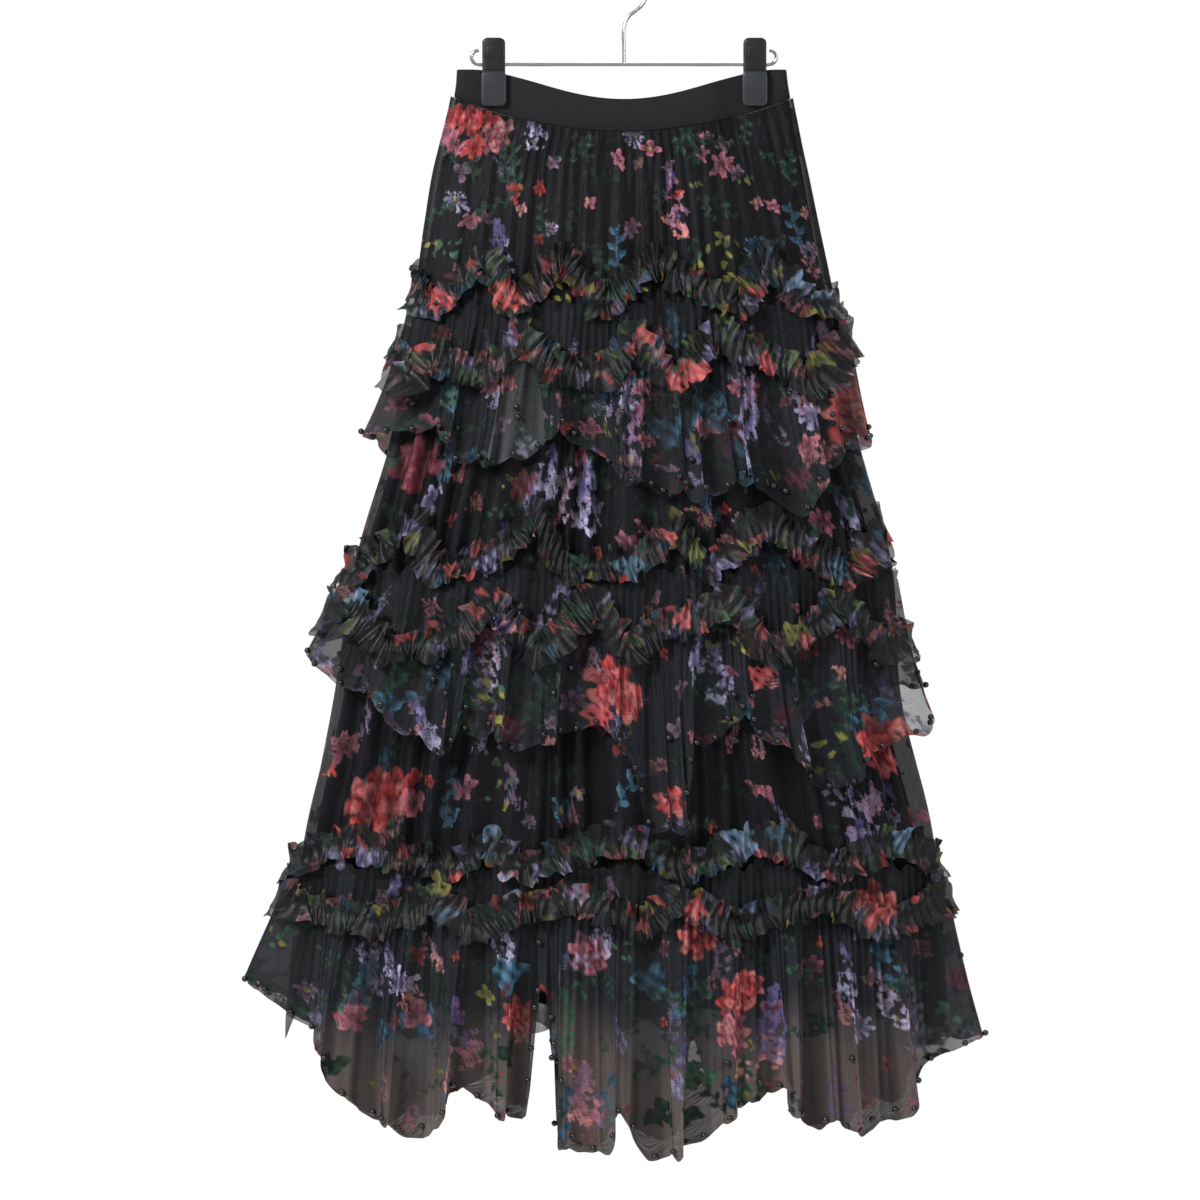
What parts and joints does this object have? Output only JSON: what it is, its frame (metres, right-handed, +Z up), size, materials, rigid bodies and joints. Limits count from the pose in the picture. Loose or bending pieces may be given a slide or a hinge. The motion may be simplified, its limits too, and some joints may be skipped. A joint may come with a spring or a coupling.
{
  "type": "tiered ruffle skirt on a clip hanger",
  "caption": "Long sheer tulle skirt with an elastic waistband, ruched zigzag headings and handkerchief-hem flounces, hanging from a wire clip hanger.",
  "frame": {"origin": "where the hanger's hook bears on a rail, at the top of the inside of the hook", "axes": "+X to the right seen from the front, +Y from the skirt's front to its back, +Z up"},
  "size_m": [0.6326, 0.2095, 1.0059],
  "materials": {
    "elastic": "matt ribbed black elastic",
    "lining": "plain black woven lining",
    "printed_tulle": "sheer black tulle with a printed flower pattern",
    "ruched_tulle": "printed tulle pinched into ruched strips",
    "beads": "small round gloss black beads",
    "wire": "bright plated round wire",
    "clip": "moulded black plastic"
  },
  "bodies": {
    "root": {"waistband": "elastic", "lining_front": "lining", "lining_back": "lining", "base_front": "printed_tulle", "base_back": "printed_tulle", "tier_1_flounce": "printed_tulle", "tier_2_flounce": "printed_tulle", "tier_3_flounce": "printed_tulle", "tier_1_ruche_upper": "ruched_tulle", "tier_1_ruche_lower": "ruched_tulle", "tier_2_ruche_upper": "ruched_tulle", "tier_2_ruche_lower": "ruched_tulle", "tier_3_ruche_upper": "ruched_tulle", "tier_3_ruche_lower": "ruched_tulle", "hanger_frame": "wire", "clip_left": "clip", "clip_right": "clip"}
  },
  "joints": []
}
